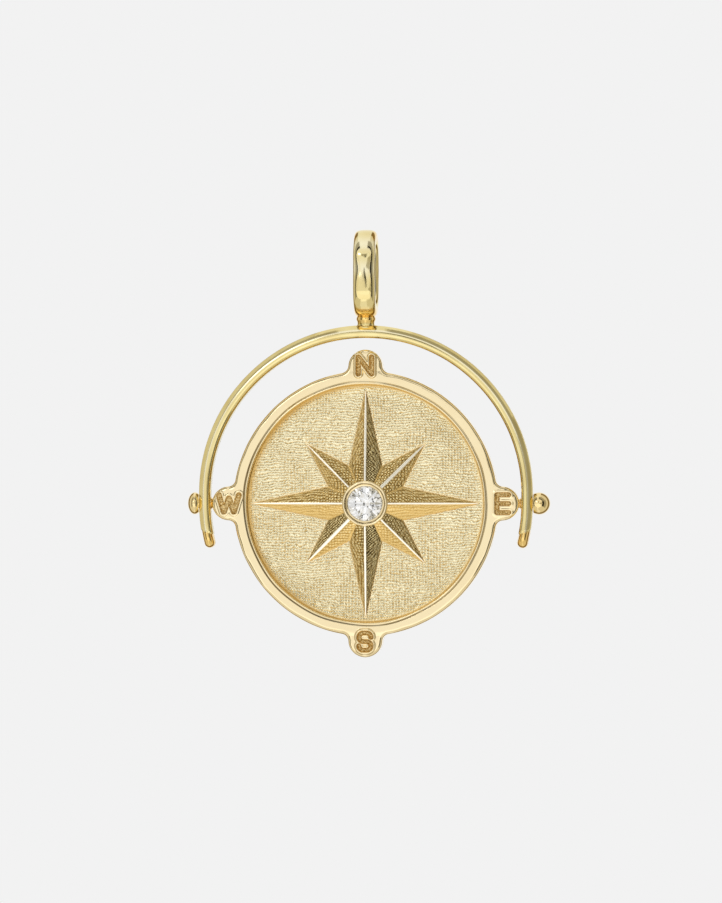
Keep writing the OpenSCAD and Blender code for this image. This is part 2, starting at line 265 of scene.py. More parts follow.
def stroke_distance(x, y, paths):
    """Distance of points from the nearest stroke of a letter."""
    best = np.full(x.shape, np.inf)
    for path in paths:
        for (ax, ay), (bx, by) in zip(path, path[1:]):
            dx, dy = bx - ax, by - ay
            span = dx * dx + dy * dy
            if span < WELD ** 2:
                continue
            t = np.clip(((x - ax) * dx + (y - ay) * dy) / span, 0, 1)
            best = np.minimum(best, np.hypot(x - ax - t * dx, y - ay - t * dy))
    return best


# %% [markdown]
# ## The rim's front
# From the field outwards, the metal rises in a steep wall, rolls over a rounded lip, dips into a
# thin hand-cut groove and runs nearly flat to the worn outer edge. Groove and lip wander a little, as
# a hand tool does. Painted shade darkens the groove, least at the upper right. The letters are added
# last.

# %% Depths of the medallion's front
WALL_FOOT_R, WALL_HEAD_R = 8.485, 8.57
LIP_R, LIP_HALF, LIP_FOOT_Z, LIP_H = 8.62, 0.11, 0.76, 0.075
GROOVE_R, GROOVE_SIDE, GROOVE_DEEP, GROOVE_VARY, GROOVE_VARY_SIZE = 8.73, 0.07, 0.04, 0.06, 3.4
GROOVE_SHADE_W, GROOVE_SHADE_LESS, GROOVE_SHADE_LESS_DEG = 0.045, 0.6, 50.0
WALL_WANDER, WANDER_SIZE = 0.07, 2.6
BEAD_AT, BEAD_HALF, CUT_WALL = 0.06, 0.11, 0.08
FLOOR_GRAIN, FLOOR_GRAIN_SIZE = 0.022, 0.1
CROWN_H, CROWN_R, CROWN_HALF = 0.012, 9.2, 0.3


def smooth_step(t):
    """Goes from 0 to 1 in a soft S as t does."""
    t = np.clip(t, 0, 1)
    return t * t * (3 - 2 * t)


def round_drop(depth, radius):
    """How far a rounded edge lies below the face, at a distance inside the outline."""
    left = radius - np.clip(depth, 0, radius)
    return radius - np.sqrt(np.maximum(radius ** 2 - left ** 2, 0))


def lumps(x, y, size, seed):
    """Smooth noise over points, one lump a size wide."""
    places = zip((x / size).tolist(), (y / size).tolist())
    return np.array([noise.noise((a, b, seed)) for a, b in places])


def letter_relief(x, y):
    """Height that the letters add to the face, and how much of each point is letter floor."""
    height, floor = np.zeros(len(x)), np.zeros(len(x))
    for name, (east, north, shift, paths) in LETTERS.items():
        lx, ly = x - east * (LOBE_AT + shift), y - north * (LOBE_AT + shift)
        near = np.flatnonzero(np.hypot(lx, ly) < LOBE_R + BEAD_AT + BEAD_HALF)
        d = stroke_distance(lx[near], ly[near], paths) - STROKE_W[name] / 2
        cut = 1 - smooth_step((d + CUT_WALL) / CUT_WALL)
        bead = np.clip(1 - ((d - BEAD_AT) / BEAD_HALF) ** 2, 0, 1)
        rough = FLOOR_GRAIN * lumps(lx[near], ly[near], FLOOR_GRAIN_SIZE, seed=3.0)
        height[near] += bead * BEAD_H[name] * (1 - cut) - cut * (LETTER_SINK[name] + rough)
        floor[near] = np.maximum(floor[near], cut)
    return height, floor


def front_height(x, y):
    """Height of the medallion's front, how much is letter floor, and how much painted shade lies in
    the groove.
    """
    r = np.hypot(x, y)
    zone = np.sin(np.pi * np.clip((r - FIELD_R) / (WALL_TOP_R - FIELD_R), 0, 1))
    rw = r + WALL_WANDER * zone * lumps(x, y, WANDER_SIZE, seed=8.0)
    wall = smooth_step((rw - WALL_FOOT_R) / (WALL_HEAD_R - WALL_FOOT_R))
    lip = LIP_FOOT_Z + LIP_H * np.clip(1 - ((rw - LIP_R) / LIP_HALF) ** 2, 0, 1)
    crown = CROWN_H * np.clip(1 - ((r - CROWN_R) / CROWN_HALF) ** 2, 0, 1)
    face = FACE_Z - CROWN_H + crown
    deep = GROOVE_DEEP + GROOVE_VARY * np.abs(lumps(x, y, GROOVE_VARY_SIZE, seed=17.0))
    bank = face - deep * (1 - smooth_step((rw - GROOVE_R) / GROOVE_SIDE))
    inner = FIELD_Z + (lip - FIELD_Z) * wall
    worn = EDGE_R * (1 + EDGE_WORN * lumps(x, y, EDGE_WORN_SIZE, seed=29.0))
    z = np.where(rw < LIP_R, inner, np.maximum(lip, bank)) - round_drop(inside(x, y), worn)
    letters, floor = letter_relief(x, y)
    # Painted shade darkens the groove, least at the upper right.
    less_shaded_side = 0.5 + 0.5 * np.cos(np.arctan2(y, x) - math.radians(GROOVE_SHADE_LESS_DEG))
    painted_groove_shade = np.exp(-((rw - GROOVE_R) / GROOVE_SHADE_W) ** 2) * (1 - GROOVE_SHADE_LESS * less_shaded_side)
    return z + letters, floor, painted_groove_shade


# %% [markdown]
# ## The medallion's body
# One profile runs from the stone's seat under the field, up the wall, over the rim's face and round
# to the back, and a lathe turns it. The four sectors with lobes get finer steps than the plain ones,
# and the rows crowd towards the edges. Then each point is pushed out to the outline and to its depth.

# %% Profile, turned in fine and plain sectors
FINE_DEG, FINE_STEPS, PLAIN_STEPS = 20.0, 134, 60
WALL_ROWS, FACE_ROWS, BACK_ROWS = 30, 62, 12
FACE_CROWD, BACK_CROWD = 1.3, 1.8
RECESS_Z, RECESS_R = FIELD_Z - 0.12, FIELD_R - 0.06
SEAT_TIP_Z, SEAT_FLOOR_R = -0.42, 0.66
SEAM = 5e-4

bm = bmesh.new()
pen = Pencil(bm, 0, SEAT_TIP_Z)
pen.to(SEAT_FLOOR_R, RECESS_Z)
pen.to(RECESS_R, RECESS_Z)
for share in np.linspace(0, 1, WALL_ROWS + 1):
    pen.to(FIELD_R + (WALL_TOP_R - FIELD_R) * share, FACE_Z)
for share in np.linspace(0, 1, FACE_ROWS + 1)[1:]:
    pen.to(WALL_TOP_R + (RIM_R - WALL_TOP_R) * (1 - (1 - share) ** FACE_CROWD), FACE_Z)
pen.to(RIM_R, 0)
for share in np.linspace(0, 1, BACK_ROWS + 1):
    pen.to(RIM_R - (RIM_R - WALL_TOP_R) * share ** BACK_CROWD, -FACE_Z)
pen.to(0, -FACE_Z)
swing(bm, -FINE_DEG / 2, "Z")
edge = bm.verts[:] + bm.edges[:]
for lobe in range(4):
    edge = turn(bm, FINE_STEPS, FINE_DEG, geom=edge)
    edge = turn(bm, PLAIN_STEPS, 90 - FINE_DEG, geom=edge)
bmesh.ops.remove_doubles(bm, verts=bm.verts, dist=SEAM)

co = coords(bm)
r, angle = fold(co[:, 0], co[:, 1], 90)
beyond = np.maximum(r - WALL_TOP_R, 0)
reach = r + beyond * ((outline_r(angle) - WALL_TOP_R) / (RIM_R - WALL_TOP_R) - 1)
co[:, :2] *= np.divide(reach, r, out=np.ones_like(r), where=r > WELD)[:, None]
front, back = co[:, 2] > FACE_Z - WELD, co[:, 2] < WELD - FACE_Z
letter_floor, groove = np.zeros(len(co)), np.zeros(len(co))
co[front, 2], letter_floor[front], groove[front] = front_height(co[front, 0], co[front, 1])
co[back, 2] = -FACE_Z + round_drop(inside(co[back, 0], co[back, 1]), EDGE_R)
set_coords(bm, co)
set_layer(bm, "letter_floor", letter_floor)
set_layer(bm, "groove", groove)
rim = finish_piece(bm, "medallion_rim", MEDALLION, 75)

# %% [markdown]
# ## Milled linen
# The field and the star's flanks are milled with fine level rows, broken into short dashes that
# wander a little, like coarse linen. One function gives that relief for any point, so that field and
# star match. In patches the dashes line up in columns, as in woven cloth, and elsewhere they are
# staggered from row to row. Fine grain lies over it all.

# %% The milled relief
ROW_PITCH, COLUMN_PITCH = 0.19, 0.21
ROW_BEND, ROW_BEND_SIZE, ROW_SWAY, ROW_SWAY_SIZE = 0.6, 0.45, 1.0, 2.6
COLUMN_BEND, COLUMN_BEND_SIZE, COLUMN_STRETCH = 0.5, 0.9, 2.5
PATCH_SIZE, PATCH_SHARP, PATCH_LOW = 1.9, 1.1, 0.03
THREAD_TALL, THREAD_POWER, BREAK_POWER, BREAK_MORE = 2.3, 0.75, 0.25, 0.3
FILE_CUT, GRAIN, GRAIN_SIZE = 1.5, 0.6, 0.17


def linen(x, y, crossed=0.0):
    """The relief, from -1 in a hollow to 1 on a thread. It can be crossed like a file's cut."""
    bend = ROW_BEND * lumps(x, y, ROW_BEND_SIZE, seed=11.0)
    sway = ROW_SWAY * lumps(x, y, ROW_SWAY_SIZE, seed=5.0)
    row = y / ROW_PITCH + (bend + sway)
    patch = smooth_step(0.5 + PATCH_SHARP * lumps(x, y, PATCH_SIZE, seed=41.0) - PATCH_LOW * y)
    staggered = 0.5 * (1 - patch) * np.mod(np.round(row), 2)
    lean = COLUMN_BEND * lumps(x, y / COLUMN_STRETCH, COLUMN_BEND_SIZE, seed=23.0)
    column = x / COLUMN_PITCH + lean + staggered
    level, dash = np.cos(2 * np.pi * row), np.cos(2 * np.pi * column)
    thread, broken = 0.5 + 0.5 * level, 0.5 + 0.5 * dash
    breaks = broken ** (BREAK_POWER + BREAK_MORE * patch)
    woven = THREAD_TALL * thread ** THREAD_POWER * breaks - 1.0
    cut = woven + crossed * (FILE_CUT * level * dash - woven)
    return cut + GRAIN * lumps(x, y, GRAIN_SIZE, seed=31.0)


# %% [markdown]
# ## The star
# Eight rays stand up from the field, long ones to the letters and short ones between. Half a ray is
# a grid, stretched between its ridge, its tip and the valley beside it. The flanks sag a little, as
# filed ones do, and a narrow strip along each ridge stays nearly flat, to be polished and given a
# painted highlight.

# %% Half a ray, as a stretched grid
RAY_LONG, RAY_SHORT, RAY_CORNER = 8.1, 5.95, 2.9
CORNER_LONG_DEG, CORNER_SHORT_DEG = 24.0, 21.0
STAR_H, STAR_FOOT, HOLE_R = 0.92, 0.05, 1.45
SAG = 0.55
RIDGE_CROWN, RIDGE_TAPER = 0.12, 4
ALONG, ACROSS, STRIP = 184, 27, 2
FADE_RIDGE, FADE_FOOT, FADE_TIP = 3, 9, 12


def ray_shape(ray):
    """Length of a ray, and the angle from its ridge to the valley beside it."""
    return (RAY_LONG, CORNER_LONG_DEG) if ray % 2 == 0 else (RAY_SHORT, CORNER_SHORT_DEG)


def half_ray(bm, length, corner_deg, strip_w):
    """Adds half a ray, ridge along +X. Gives its points, how polished and painted with a highlight
    each is, and how hatched.
    """
    grid = bmesh.ops.create_grid(bm, x_segments=ALONG, y_segments=ACROSS + STRIP, size=0.5)["verts"]
    uv = np.array([vert.co[:] for vert in grid])[:, :2] + 0.5
    u, row = uv[:, 0], uv[:, 1] * (ACROSS + STRIP)
    corner = math.radians(corner_deg)
    cx, cy = RAY_CORNER * math.cos(corner), RAY_CORNER * math.sin(corner)
    hx, hy = HOLE_R * math.cos(corner), HOLE_R * math.sin(corner)
    w = strip_w * (1 - np.clip(u, 0, 1) ** RIDGE_TAPER)
    out = np.clip((row - STRIP) / ACROSS, 0, 1)
    ridge_x = HOLE_R + u * (length - HOLE_R)
    x = ridge_x + out * (hx + u * (cx - hx) - ridge_x)
    y = np.where(row < STRIP, w * row / STRIP, w + out * (hy + u * (cy - hy) - w))

    def flank(px, py):
        """Height of the filed flank over a point."""
        b = py / cy
        a = (px - cx * b) / length
        total = np.maximum(a + b, WELD)
        high = STAR_H * np.maximum(1 - a - b, 0)
        return high - SAG * high * np.maximum(a, 0) * b / total ** 2

    crown = RIDGE_CROWN * w * (1 - (np.minimum(row, STRIP) / STRIP) ** 2)
    strip = flank(ridge_x, w) + crown
    z = FIELD_Z + STAR_FOOT + np.where(row < STRIP, strip, flank(x, y))
    for vert, place in zip(grid, zip(x.tolist(), y.tolist(), z.tolist())):
        vert.co = place
    on_ridge = (row < STRIP + 0.5).astype(float)
    hatched = (smooth_step((row - STRIP) / FADE_RIDGE) * smooth_step((1 - out) * FADE_FOOT)
               * smooth_step((1 - u) * FADE_TIP))
    return grid, on_ridge.tolist(), hatched.tolist()


# %% [markdown]
# Each half is mirrored and turned into place. The table says how deep each ray's left and right flank
# are hatched, how far that hatching is crossed, which also deepens its painted shade, and how wide
# the ridge is polished and painted as a highlight. Flanks turned up and to the right were cut deepest
# and take the most painted shade, and those turned down were left nearly plain.

# %% The eight rays, from east round by north
STAR_WELD = 2e-4
RAYS = [
    ((0.85, 0.25), (0.45, 0.0), 0.045),
    ((0.8, 0.8), (0.5, 0.3), 0.105),
    ((0.95, 1.0), (0.1, 1.0), 0.065),
    ((0.55, 0.9), (0.0, 0.4), 0.05),
    ((0.25, 0.8), (0.0, 0.3), 0.05),
    ((0.45, 1.0), (0.0, 0.8), 0.1),
    ((1.0, 1.0), (1.0, 0.15), 0.06),
    ((1.0, 0.35), (0.7, 0.0), 0.055),
]

bm = bmesh.new()
polish_and_highlight = bm.verts.layers.float.new("ridge")
matt = bm.verts.layers.float.new("hatched")
cross = bm.verts.layers.float.new("crossed")
for ray, (hatching, crossing, ridge_w) in enumerate(RAYS):
    length, corner_deg = ray_shape(ray)
    for flank, side in enumerate((1, -1)):
        half, on_ridge, hatched = half_ray(bm, length, corner_deg, ridge_w)
        # The ridge strip is polished and gets a painted highlight.
        for vert, painted_highlight, rough in zip(half, on_ridge, hatched):
            vert[polish_and_highlight] = painted_highlight
            vert[matt] = rough * hatching[flank]
            vert[cross] = crossing[flank]
        flip = Matrix.Diagonal((1, side, 1)).to_4x4()
        spin_to = Matrix.Rotation(math.radians(45 * ray), 4, "Z")
        bmesh.ops.transform(bm, matrix=spin_to @ flip, verts=half)
bmesh.ops.remove_doubles(bm, verts=bm.verts, dist=STAR_WELD)
bmesh.ops.dissolve_degenerate(bm, edges=bm.edges, dist=WELD)

# %% [markdown]
# The flanks are hatched with the same tool as the field, and the hatch fades at their borders. The
# sheet is then given sides and a flat underside, a little below the field.

# %% Hatch the flanks and close the star
HATCH_H, SHEET_UNDER = 0.012, 0.1


def close_under(bm):
    """Gives a sheet straight sides, down to one level, and gives the loops at their foot."""
    rims = [edge for edge in bm.edges if edge.is_boundary]
    made = slide(bm, rims, (0, 0, -SHEET_UNDER))
    for part in made:
        if isinstance(part, bmesh.types.BMVert):
            part.co.z = FIELD_Z - SHEET_UNDER
    return [part for part in made if isinstance(part, bmesh.types.BMEdge)]


co = coords(bm)
rough = np.array([vert[matt] for vert in bm.verts])
hatch = linen(co[:, 0], co[:, 1], np.array([vert[cross] for vert in bm.verts]))
co[:, 2] += HATCH_H * hatch * rough
set_coords(bm, co)
set_layer(bm, "relief", 0.5 + 0.5 * hatch * rough)
bmesh.ops.bridge_loops(bm, edges=close_under(bm))
star = finish_piece(bm, "medallion_star", MEDALLION, 60)

# %% [markdown]
# ## The field
# A square grid is drawn into a disc, so its cells stay even, and then raised thread by thread. The
# threads fade beside the wall and the star, where the tool couldn't reach, and leave a smooth, hollow
# border, painted deeper gold as shade, widest on the left. What lies under the star is left out.

# %% The relief of the field
CELLS_X, CELLS_Y = 440, 640
THREAD_H, UNDER_WALL, UNDER_STAR = 0.021, 0.04, 0.16
BORDER_STAR, BORDER_WALL, BORDER_SOFT = 0.03, 0.06, 0.1
DIP, DIP_W, DIP_FROM = 0.03, 0.09, 0.05
SHADE_W, SHADE_MORE, SHADE_DEG = 0.1, 0.2, 160.0
STAR_SHADE, STAR_SHADE_W = 0.8, 0.08


def star_distance(x, y):
    """Distance outside the star's outline. It is negative inside it."""
    corners = []
    for ray in range(len(RAYS)):
        length, corner_deg = ray_shape(ray)
        at, past = math.radians(45 * ray), math.radians(45 * ray + corner_deg)
        corners.append((length * math.cos(at), length * math.sin(at)))
        corners.append((RAY_CORNER * math.cos(past), RAY_CORNER * math.sin(past)))
    closed = corners + corners[:1]
    away = stroke_distance(x, y, [closed])
    crossings = np.zeros(x.shape, dtype=int)
    for (ax, ay), (bx, by) in zip(closed, closed[1:]):
        spans = (ay > y) != (by > y)
        crossings += spans & (x < ax + (y - ay) * (bx - ax) / (by - ay + 1e-12))
    return np.where(crossings % 2 == 1, -away, away)


bm = bmesh.new()
bmesh.ops.create_grid(bm, x_segments=CELLS_X, y_segments=CELLS_Y, size=1)
co = coords(bm)
gx, gy = co[:, 0].copy(), co[:, 1].copy()
co[:, 0] = (FIELD_R + UNDER_WALL) * gx * np.sqrt(1 - gy ** 2 / 2)
co[:, 1] = (FIELD_R + UNDER_WALL) * gy * np.sqrt(1 - gx ** 2 / 2)
x, y = co[:, 0], co[:, 1]
from_star, from_wall = star_distance(x, y), FIELD_R - np.hypot(x, y)
threads = linen(x, y)
open_field = (smooth_step((from_star - BORDER_STAR) / BORDER_SOFT)
              * smooth_step((from_wall - BORDER_WALL) / BORDER_SOFT))
border = np.maximum(np.minimum(from_star, from_wall), 0)
dip = np.exp(-(border / DIP_W) ** 2) * (from_wall > DIP_FROM)
co[:, 2] = FIELD_Z + open_field * THREAD_H * threads - DIP * dip
set_coords(bm, co)
set_layer(bm, "relief", 0.5 + 0.5 * threads * open_field)
# Painted shade along the wall, widest on the left, and beside the star.
shade_w = SHADE_W + SHADE_MORE * np.maximum(np.cos(np.arctan2(y, x) - math.radians(SHADE_DEG)), 0)
wall_shade = np.exp(-(np.maximum(from_wall, 0) / shade_w) ** 2)
star_shade = STAR_SHADE * np.exp(-(np.maximum(from_star, 0) / STAR_SHADE_W) ** 2)
set_layer(bm, "border_shade", np.maximum(star_shade, wall_shade))
hidden = [vert for vert, away in zip(bm.verts, from_star.tolist()) if away < -UNDER_STAR]
bmesh.ops.delete(bm, geom=hidden, context="VERTS")
print("points of the whole field:", len(bm.verts))

# %% [markdown]
# The long rays part the field into quarters, which keeps each piece light.

# %% Part the field into quarters
QUARTERS = {"ne": (1, 1), "nw": (-1, 1), "sw": (-1, -1), "se": (1, -1)}
fields = []
for corner, (east, north) in QUARTERS.items():
    part = bm.copy()
    others = []
    for face in part.faces:
        middle = face.calc_center_median()
        if middle.x * east < 0 or middle.y * north < 0:
            others.append(face)
    bmesh.ops.delete(part, geom=others, context="FACES")
    loose = [edge for edge in part.edges if edge.is_wire]
    bmesh.ops.delete(part, geom=loose, context="EDGES")
    bmesh.ops.contextual_create(part, geom=close_under(part))
    fields.append(finish_piece(part, f"medallion_field_{corner}", MEDALLION, 80))
bm.free()

# %% [markdown]
# ## The bezel
# A turned cup holds the stone. Its outer lip is a half-round ring, and inside a fine groove, darkened
# with painted shade, a lower band is burnished over the girdle. Below the girdle the cup falls as a
# cone, which shows as gold through the stone. The burnisher leaves the ring slightly out of round.

# %% Turned bezel
BEZEL_R, STONE_R, OPENING_R, GIRDLE_Z = 1.66, 1.3, 1.24, 0.83
CONE_R, CONE_Z, STONE_GAP, CONE_DEEP = SEAT_FLOOR_R + 0.04, RECESS_Z + 0.005, 0.025, 0.105
BAND_UP, BAND_BEND, BAND_W = 0.055, 0.05, 0.11
NOTCH_R, NOTCH_Z, RING_FOOT_R, RING_FOOT_Z, RING_BEND = 1.402, 0.95, 1.425, 1.045, 0.115
NOTCH_SHADE, NOTCH_LINE_R, NOTCH_LINE_W = 0.45, 1.405, 0.025
BURNISH, BURNISH_SIZE, BURNISH_FROM = 0.035, 0.8, 0.86

bm = bmesh.new()
pen = Pencil(bm, CONE_R, CONE_Z)
pen.to(STONE_R + STONE_GAP, GIRDLE_Z - CONE_DEEP)
pen.to(STONE_R + STONE_GAP, GIRDLE_Z + STONE_GAP)
pen.to(OPENING_R, GIRDLE_Z + BAND_UP)
pen.heading = 90
pen.bend(BAND_BEND, -72, 8)
pen.ahead(BAND_W)
pen.to(NOTCH_R, NOTCH_Z)
pen.to(RING_FOOT_R, RING_FOOT_Z)
pen.bend(RING_BEND, -166, 24)
pen.to(BEZEL_R, CONE_Z)
pen.to(CONE_R, CONE_Z)
print("bezel's drawn top:", round(max(vert.co.z for vert in bm.verts), 3))
turn(bm, 144)
co = coords(bm)
pressed = np.abs(lumps(co[:, 0], co[:, 1], BURNISH_SIZE, seed=2.0)) * (co[:, 2] > BURNISH_FROM)
push = 1 - BURNISH * pressed
co[:, :2] *= push[:, None]
set_coords(bm, co)
# Painted shade darkens the fine groove above the girdle.
in_notch = np.exp(-((np.hypot(co[:, 0], co[:, 1]) / push - NOTCH_LINE_R) / NOTCH_LINE_W) ** 2)
set_layer(bm, "groove", NOTCH_SHADE * in_notch * (co[:, 2] > GIRDLE_Z))
bezel = finish_piece(bm, "medallion_bezel", MEDALLION, 50)

# %% [markdown]
# ## The arch
# The arch is drawn wire with a bevel along its outside, a gently rounded front and a soft inner
# edge. Half its section is a row of bends from the outside in, each a radius, degrees and steps. It
# is fitted to its size, mirrored, turned round the top and run down both arms, whose tips curve in.

# %% Wire of the arch
ARCH_R, ARCH_RISE, WIRE_T, WIRE_D = 11.59, 0.72, 0.8, 1.5
SECTION_BENDS = [(0.06, 46, 6), (2.0, 11, 8), (0.03, 16, 4), (0.5, 32, 12), (0.26, 45, 12)]
OUTSIDE, INSIDE_DROP = 0.4, 0.03
TURN_IN_DEG, TIP_MM, CAP_MM = 12.2, 0.75, 1.45
TIP_DEG = TURN_IN_DEG + math.degrees(TIP_MM / ARCH_R)
CAP_DEG = math.degrees(CAP_MM / ARCH_R)
CAP_STEPS, ARM_STEPS, TOP_STEPS = 40, 14, 200

bm = bmesh.new()
pen = Pencil(bm, OUTSIDE, 0, 90)
pen.ahead(OUTSIDE)
for radius, deg, steps in SECTION_BENDS:
    pen.bend(radius, deg, steps)
pen.to(-OUTSIDE, pen.tip.co.z - INSIDE_DROP)
pen.to(-OUTSIDE, 0)
outer = max(vert.co.x for vert in bm.verts)
inner = min(vert.co.x for vert in bm.verts)
wide, middle_x = outer - inner, (outer + inner) / 2
tall = max(vert.co.z for vert in bm.verts)
print("drawn section, before it is fitted:", round(wide, 3), round(2 * tall, 3))
for vert in bm.verts:
    vert.co.x = ARCH_R + (vert.co.x - middle_x) * WIRE_T / wide
    vert.co.z *= WIRE_D / 2 / tall
bmesh.ops.mirror(bm, geom=bm.verts[:] + bm.edges[:], axis="Z", merge_dist=WELD)
swing(bm, -TIP_DEG, "Z")
edge = turn(bm, CAP_STEPS, CAP_DEG)
edge = turn(bm, ARM_STEPS, TIP_DEG - CAP_DEG, geom=edge)
edge = slide(bm, edge, (0, ARCH_RISE, 0))
edge = turn(bm, TOP_STEPS, 180, centre=(0, ARCH_RISE, 0), geom=edge)
edge = slide(bm, edge, (0, -ARCH_RISE, 0))
edge = turn(bm, ARM_STEPS, TIP_DEG - CAP_DEG, geom=edge)
edge = turn(bm, CAP_STEPS, CAP_DEG, geom=edge)

# %% [markdown]
# The wire is thinned a little towards its tips. Each tip is filed to a smooth round cap, which
# starts at a small step across the arm, where the bevels end, and gets a painted warm shade. The edge
# between bevel and front is marked for a painted highlight.

# %% File the tips
THICK_TOP, THICK_SIDE, THICK_TIP = 1.14, 1.0, 1.0
CAP_FLAT, CAP_POWER, CAP_SOFT, TIP_ROUND = 0.8, 2.2, 0.05, 0.38
CAP_AT, CAP_SLANT, CAP_STEP, CAP_STEP_W = 1.15, 0.2, 0.05, 0.06
BRIGHT_AT, BRIGHT_W, BRIGHT_FRONT = 0.16, 0.13, 0.6

co = coords(bm)
middle_y = np.clip(co[:, 1], 0, ARCH_RISE)
away = np.stack([co[:, 0], co[:, 1] - middle_y], axis=1)
reach = np.hypot(away[:, 0], away[:, 1])
unit = away / reach[:, None]
from_top = np.degrees(np.arctan2(np.abs(co[:, 0]), co[:, 1] - middle_y))
thick = np.interp(from_top, [0, 90, 90 + TIP_DEG], [THICK_TOP, THICK_SIDE, THICK_TIP])
to_end = np.radians(90 + TIP_DEG - from_top) * ARCH_R
across, deep = (reach - ARCH_R) / (WIRE_T / 2), co[:, 2] / (WIRE_D / 2)
highlight_edge = np.exp(-((across - BRIGHT_AT) / BRIGHT_W) ** 2) * (np.abs(deep) > BRIGHT_FRONT)
size = (np.abs(across) ** CAP_POWER + np.abs(deep) ** CAP_POWER) ** (1 / CAP_POWER)
past_step = CAP_AT + CAP_SLANT * across - to_end
capped = smooth_step(past_step / CAP_SOFT)
step = 1 - CAP_STEP * np.exp(-(past_step / CAP_STEP_W) ** 2)
across = (across + capped * (across / size - across)) * step
deep = (deep + capped * (deep / size - deep)) * step
in_cap = np.clip(1 - to_end / CAP_FLAT, 0, 1)
eased = np.sin(in_cap * np.pi / 2)
tip_round = np.clip(1 - CAP_FLAT * (1 - eased) / TIP_ROUND, 0, 1)
thin = np.sqrt(np.maximum(1 - tip_round ** 2, 0))
filed = np.where(in_cap > 0, np.sqrt(np.maximum(1 - eased ** 2, 0)), 1)
turned = np.radians(TIP_DEG - np.degrees(CAP_FLAT * (1 - eased) / ARCH_R))
unit[:, 0] = np.where(in_cap > 0, np.sign(co[:, 0]) * np.cos(turned), unit[:, 0])
unit[:, 1] = np.where(in_cap > 0, -np.sin(turned), unit[:, 1])
offset = across * WIRE_T / 2 * thick * thin
co[:, 0] = unit[:, 0] * (ARCH_R + offset)
co[:, 1] = middle_y + unit[:, 1] * (ARCH_R + offset)
co[:, 2] = deep * WIRE_D / 2 * filed
set_coords(bm, co)
# The caps get a painted warm shade.
set_layer(bm, "warm_shade", capped)
# A painted highlight along the edge between bevel and front.
set_layer(bm, "painted_highlight", highlight_edge)
arch = finish_piece(bm, "hanger_arch", HANGER, 60)

# %% [markdown]
# ## The bail
# The chain's bail is a cast oval ring seen edge on. Its section is flatter at the top and in the
# lower half and rounder in a shallow waist between, which draws bright ovals on it. A painted
# highlight makes them paler, and a painted warm shade lies at the ring's foot and its upper corners.

# %% Bail
ARCH_TOP = ARCH_RISE + ARCH_R + WIRE_T / 2
NECK_H, BAIL_H, BAIL_DEPTH, BAIL_W, BAIL_T = 0.59, 6.31, 4.2, 1.58, 1.05
BAIL_FOOT = ARCH_TOP + NECK_H
BAIL_BEND = BAIL_DEPTH / 2 - BAIL_T / 2
BAIL_LEG = BAIL_H - BAIL_DEPTH
BAIL_MIDDLE = BAIL_FOOT + BAIL_H / 2
FLAT_POWER, ROUND_POWER, POWER_HALF = 3.1, 2.0, 0.75
WAIST, WAIST_AT, WAIST_HALF = 0.04, 0.35, 0.7
WARM_FOOT, FOOT_SOFT, WARM_TOP, TOP_SOFT, WARM_SIDE, SIDE_SOFT = 2.3, 0.4, 2.2, 0.3, 0.55, 0.2
OVAL, OVAL_W, TOP_OVAL_AT, TOP_OVAL_W, OVAL_FRONT = 0.7, 0.55, 2.1, 0.5, 0.3
RING_STEPS, LEG_STEPS, END_STEPS = 96, 40, 64

bm = bmesh.new()
ring = bmesh.ops.create_circle(bm, segments=RING_STEPS, radius=1)["verts"]
for vert in ring:
    angle = math.atan2(vert.co.y, vert.co.x)
    vert.co = (BAIL_W / 2 * math.cos(angle), 0, BAIL_BEND + BAIL_T / 2 * math.sin(angle))
bmesh.ops.translate(bm, verts=ring, vec=(0, BAIL_MIDDLE - BAIL_LEG / 2, 0))
loop = bm.verts[:] + bm.edges[:]
for stretch in range(LEG_STEPS):
    loop = slide(bm, loop, (0, BAIL_LEG / LEG_STEPS, 0))
over = (0, BAIL_MIDDLE + BAIL_LEG / 2, 0)
loop = turn(bm, END_STEPS, -180, axis=(1, 0, 0), centre=over, geom=loop)
for stretch in range(LEG_STEPS):
    loop = slide(bm, loop, (0, -BAIL_LEG / LEG_STEPS, 0))
under = (0, BAIL_MIDDLE - BAIL_LEG / 2, 0)
loop = turn(bm, END_STEPS, -180, axis=(1, 0, 0), centre=under, geom=loop)

co = coords(bm)
up = co[:, 1] - BAIL_MIDDLE
spine_y = np.clip(up, -BAIL_LEG / 2, BAIL_LEG / 2)
spoke = np.stack([up - spine_y, co[:, 2]], axis=1)
far = np.hypot(spoke[:, 0], spoke[:, 1])
spoke /= far[:, None]
cos_s = co[:, 0] / (BAIL_W / 2)
sin_s = (far - BAIL_BEND) / (BAIL_T / 2)
power = FLAT_POWER - (FLAT_POWER - ROUND_POWER) * np.exp(-((up - WAIST_AT) / POWER_HALF) ** 2)
size = (np.abs(cos_s) ** power + np.abs(sin_s) ** power) ** (-1 / power)
waist = WAIST * np.exp(-((up - WAIST_AT) / WAIST_HALF) ** 2) * np.maximum(sin_s, 0)
grown = BAIL_BEND + BAIL_T / 2 * size * sin_s - waist
co[:, 0] = BAIL_W / 2 * size * cos_s
co[:, 1] = BAIL_MIDDLE + spine_y + spoke[:, 0] * grown
co[:, 2] = spoke[:, 1] * grown
set_coords(bm, co)
# Painted warm shade at the bail's foot and upper corners.
at_side = smooth_step((np.abs(cos_s) - WARM_SIDE) / SIDE_SOFT)
corner = smooth_step((up - WARM_TOP) / TOP_SOFT) * at_side
set_layer(bm, "warm_shade", np.maximum(smooth_step((-up - WARM_FOOT) / FOOT_SOFT), corner))
# Painted highlights on the bright ovals.
ovals = (np.exp(-((up - WAIST_AT) / OVAL_W) ** 2)
         + np.exp(-((up - TOP_OVAL_AT) / TOP_OVAL_W) ** 2))
set_layer(bm, "painted_highlight", OVAL * ovals * (sin_s > OVAL_FRONT))
bail = finish_piece(bm, "hanger_bail", HANGER, 80)

